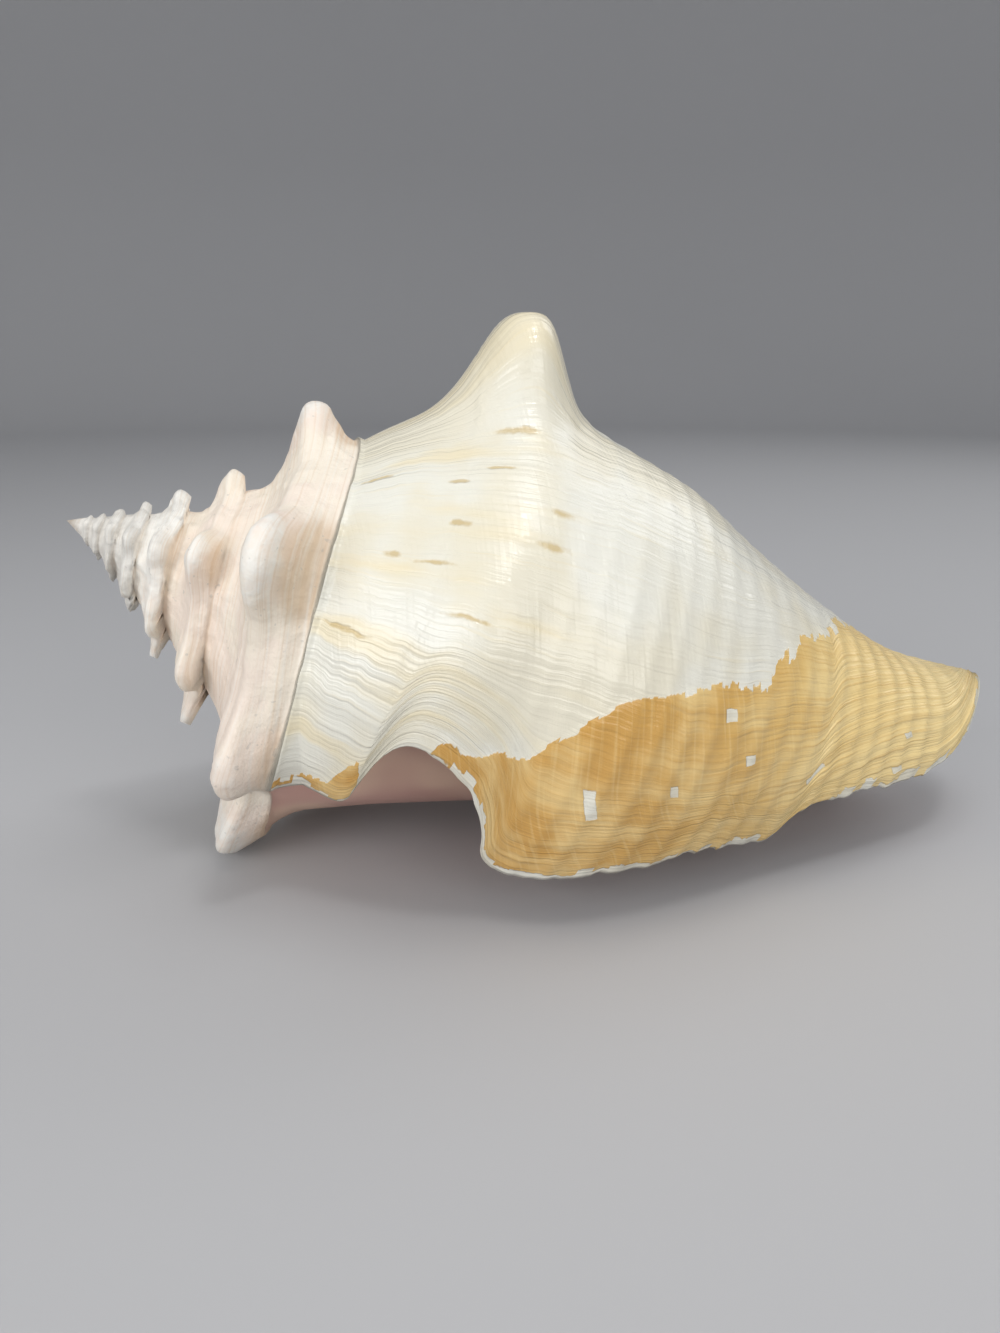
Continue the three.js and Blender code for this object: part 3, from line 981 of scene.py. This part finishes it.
def mesh_object(name, vertices, faces, material):
    mesh = bpy.data.meshes.new(name)
    mesh.from_pydata(vertices.tolist(), [], faces.tolist())
    mesh.materials.append(material)
    mesh.shade_smooth()
    piece = bpy.data.objects.new(name, mesh)
    bpy.context.scene.collection.objects.link(piece)
    return piece


def worn_amount(places):
    """1 on the oldest whorls and on the tips of the knobs of the spire."""
    old = ease(-places.turn, 2.0, 3.3)
    tips = ease(knob_height(places.turn, places.band) / np.maximum(places.scale, 0.02), 7, 15)
    return np.clip(old + 0.55 * tips, 0, 1)


def painted_shade_amount(places):
    """Painted shade: 1 in the hollows beside the sutures of the spire, and under its knobs."""
    below = knob_height(places.turn, places.band - 0.75) / np.maximum(places.scale, 0.02)
    own = knob_height(places.turn, places.band) / np.maximum(places.scale, 0.02)
    shadowed = ease(below - 0.6 * own, 2, 9)
    # Painted shadow in the crack along each suture of the spire
    suture_shadow = np.exp(-places.cord / 2.5)
    return np.clip(0.8 * shadowed + 0.6 * suture_shadow, 0, 1)


shell = mesh_object("queen_conch_shell", points, triangles, shell_material())
marks = {
    "growth": places.growth,
    "cord": places.cord,
    "body": places.body,
    "glaze": places.glaze,
    "ochre": places.ochre,
    "lip_edge": places.lip_edge,
    "worn": worn_amount(places),
    # Painted shade for the spire's hollows and the undersides of its knobs
    "hollow_shade": painted_shade_amount(places),
}
for name, values in marks.items():
    attribute = shell.data.attributes.new(name, "FLOAT", "POINT")
    attribute.data.foreach_set("value", values.astype(np.float32))
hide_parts("conch_shell")
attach(shell, "root")

# ---- Studio: floor, lights and camera -------------------------------------------------

FLOOR_RADIUS = 1.5
FLOOR_CURVE = 0.5
FLOOR_CURVE_STEPS = 12
FLOOR_TOP = 1.6
FLOOR_SIDES = 96

# Name, place, width, height and power of each light
LIGHTS = [
    ["overhead", (0.1, -0.12, 0.9), 0.5, 0.35, 1.5],
    ["sparkle", (0.08, -0.3, 0.85), 0.16, 0.1, 0.8],
    ["fill_left", (-0.9, -0.75, 0.42), 0.8, 0.7, 7.5],
    ["fill_front", (0.35, -1.0, 0.5), 0.8, 0.6, 4],
    ["rim_right", (0.8, 0.5, 0.8), 0.6, 0.6, 2.0],
]
LIGHT_AIM = (0, 0, 0.05)
WORLD_COLOUR = (0.95, 0.97, 1.0, 1)
WORLD_STRENGTH = 0.5

CAMERA_FROM_APEX = (0.0684, -0.2469)
CAMERA_HEIGHT = 0.123
CAMERA_PITCH = math.radians(17.5)
CAMERA_YAW = math.radians(8)
CAMERA_LENS = 27
CAMERA_SENSOR = 36


def studio_floor():
    """A round pale floor that curves up into a wall."""
    profile = [(0, 0), (FLOOR_RADIUS / 2, 0), (FLOOR_RADIUS, 0)]
    for step in range(1, FLOOR_CURVE_STEPS + 1):
        angle = math.pi / 2 * step / FLOOR_CURVE_STEPS
        rise = FLOOR_CURVE * (1 - math.cos(angle))
        profile.append((FLOOR_RADIUS + FLOOR_CURVE * math.sin(angle), rise))
    profile.append((FLOOR_RADIUS + FLOOR_CURVE, FLOOR_TOP))
    vertices = []
    for radius, height in profile:
        for side in range(FLOOR_SIDES):
            angle = 2 * math.pi * side / FLOOR_SIDES
            vertices.append((radius * math.cos(angle), radius * math.sin(angle), height + cad_low.z))
    grid = np.arange(len(vertices)).reshape(len(profile), FLOOR_SIDES)
    grid = np.hstack([grid, grid[:, :1]])
    a, b, c, d = grid[:-1, :-1], grid[:-1, 1:], grid[1:, 1:], grid[1:, :-1]
    faces = np.stack([v.ravel() for v in (a, b, c, d)], axis=1)[:, ::-1]
    return mesh_object("studio_floor", np.array(vertices), faces, floor_material())


def soft_light(name, place_at, width, height, power):
    data = bpy.data.lights.new(name, "AREA")
    data.shape = "RECTANGLE"
    data.size = width
    data.size_y = height
    data.energy = power
    light = bpy.data.objects.new(name, data)
    light.location = place_at
    light.rotation_euler = (Vector(LIGHT_AIM) - Vector(place_at)).to_track_quat("-Z", "Y").to_euler()
    bpy.context.scene.collection.objects.link(light)


def photo_camera():
    data = bpy.data.cameras.new("camera")
    data.lens = CAMERA_LENS
    data.sensor_width = CAMERA_SENSOR
    data.clip_start = 0.01
    camera = bpy.data.objects.new("camera", data)
    apex = Vector(points[0])
    right, back = CAMERA_FROM_APEX
    camera.location = (apex.x + right, apex.y + back, cad_low.z + CAMERA_HEIGHT)
    camera.rotation_euler = (math.pi / 2 - CAMERA_PITCH, 0, -CAMERA_YAW)
    bpy.context.scene.collection.objects.link(camera)
    bpy.context.scene.camera = camera


studio_floor()
for light in LIGHTS:
    soft_light(*light)
world = bpy.data.worlds.new("studio")
world.use_nodes = True
background = world.node_tree.nodes["Background"]
background.inputs["Color"].default_value = WORLD_COLOUR
background.inputs["Strength"].default_value = WORLD_STRENGTH
bpy.context.scene.world = world
bpy.context.scene.view_settings.view_transform = "Standard"
photo_camera()
